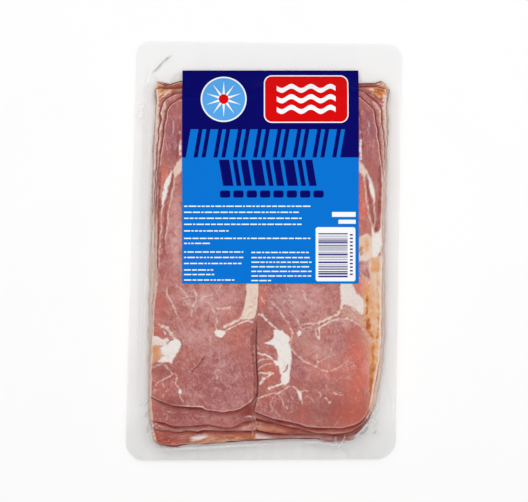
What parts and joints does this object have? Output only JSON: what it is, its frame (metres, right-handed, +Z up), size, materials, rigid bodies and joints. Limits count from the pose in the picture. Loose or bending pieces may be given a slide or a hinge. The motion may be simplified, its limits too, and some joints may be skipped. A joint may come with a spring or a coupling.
{
  "type": "bacon pack",
  "caption": "Vacuum pack of sliced back bacon in clear film, with a sealed rim and a blue label, lying label side up.",
  "frame": {"origin": "middle of the pack's bounding box, on the surface that the pack lies on", "axes": "+Z up out of the labelled face, +Y towards the empty header, +X to the right as the label is read"},
  "size_m": [0.1938, 0.294, 0.026],
  "materials": {
    "film": "clear flexible film, glossy, with small wrinkles",
    "bacon": "moist cured back bacon, rosy lean with cream fat",
    "label_print": "smooth printed label, navy and bright blue fields"
  },
  "bodies": {
    "root": {"sealed_pack": "film", "label": "label_print"}
  },
  "joints": []
}
